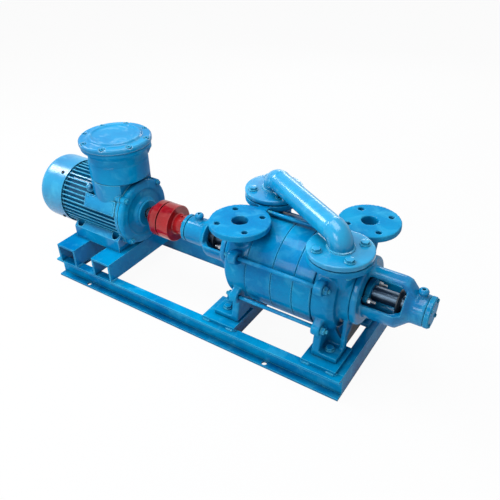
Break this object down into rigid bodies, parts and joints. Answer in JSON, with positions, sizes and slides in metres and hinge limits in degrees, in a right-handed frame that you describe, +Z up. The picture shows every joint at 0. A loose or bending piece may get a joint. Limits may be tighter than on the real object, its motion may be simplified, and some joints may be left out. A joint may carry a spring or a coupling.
{
  "type": "liquid ring vacuum pump set",
  "caption": "Horizontal liquid ring vacuum pump with crossover pipe, driven through a pin coupling by a flameproof motor on a shared channel base frame.",
  "frame": {"origin": "centre of the four anchor holes, at floor level", "axes": "+X along the shaft from the motor to the pump's free end, +Z up"},
  "size_m": [1.193, 0.32, 0.448],
  "materials": {
    "frame_paint": "gloss",
    "cast_paint": "gloss paint on cast iron",
    "steel_paint": "gloss",
    "red_paint": "gloss paint on cast iron",
    "zinc_steel": "satin",
    "bright_steel": "ground",
    "bare_iron": "machined",
    "rubber": "matt",
    "bronze": "satin",
    "black_plastic": "matt"
  },
  "bodies": {
    "base": {"front_rail": "frame_paint", "rear_rail": "frame_paint", "end_beams": "frame_paint", "motor_bearers": "frame_paint", "pump_cross_beams": "frame_paint", "bed_plates": "frame_paint", "drive_cover": "cast_paint", "free_cover": "cast_paint", "first_stage_casing": "cast_paint", "interstage_body": "cast_paint", "second_stage_casing": "cast_paint", "port_plates": "bare_iron", "tie_rods": "steel_paint", "tie_rod_nuts": "steel_paint", "drive_bearing_bracket": "cast_paint", "free_bearing_bracket": "cast_paint", "packing_rings": "rubber", "gland_followers": "cast_paint", "gland_studs": "zinc_steel", "pump_bearing_outer_rings": "bright_steel", "bearing_covers": "cast_paint", "grease_cups": "bronze", "crossover_pipe": "steel_paint", "flange_gaskets": "rubber", "flange_bolts": "steel_paint", "flange_nuts": "steel_paint", "pump_foot_bolts": "steel_paint", "drain_plugs": "steel_paint", "motor_frame": "cast_paint", "stator_core": "bare_iron", "stator_windings": "bronze", "drive_end_shield": "cast_paint", "fan_end_shield": "cast_paint", "motor_bearing_cap": "cast_paint", "motor_bearing_outer_rings": "bright_steel", "fan_cowl": "steel_paint", "terminal_box": "cast_paint", "terminal_box_lid": "cast_paint", "lid_bolts": "zinc_steel", "terminal_board": "black_plastic", "cable_gland": "steel_paint", "motor_foot_bolts": "steel_paint", "shield_bolts": "zinc_steel"},
    "motor_rotor": {"motor_shaft": "bright_steel", "rotor_core": "bare_iron", "cooling_fan": "black_plastic", "motor_bearing_inner_rings": "bright_steel", "motor_bearing_balls": "bright_steel", "motor_coupling_half": "red_paint", "coupling_pins": "zinc_steel"},
    "pump_rotor": {"pump_shaft": "bright_steel", "first_stage_impeller": "bronze", "second_stage_impeller": "bronze", "pump_bearing_inner_rings": "bright_steel", "pump_bearing_balls": "bright_steel", "shaft_slingers": "rubber", "pump_coupling_half": "red_paint", "coupling_bushes": "rubber"}
  },
  "joints": [
    {"name": "motor_shaft_spin", "type": "hinge", "parent": "base", "child": "motor_rotor", "pos_m": [-0.2, 0, 0.222], "axis": [1, 0, 0], "continuous": true},
    {"name": "pump_shaft_spin", "type": "hinge", "parent": "base", "child": "pump_rotor", "pos_m": [0.332, 0, 0.222], "axis": [1, 0, 0], "continuous": true}
  ],
  "couplings": [
    {"joint": "pump_shaft_spin", "follows": "motor_shaft_spin", "ratio": 1}
  ]
}
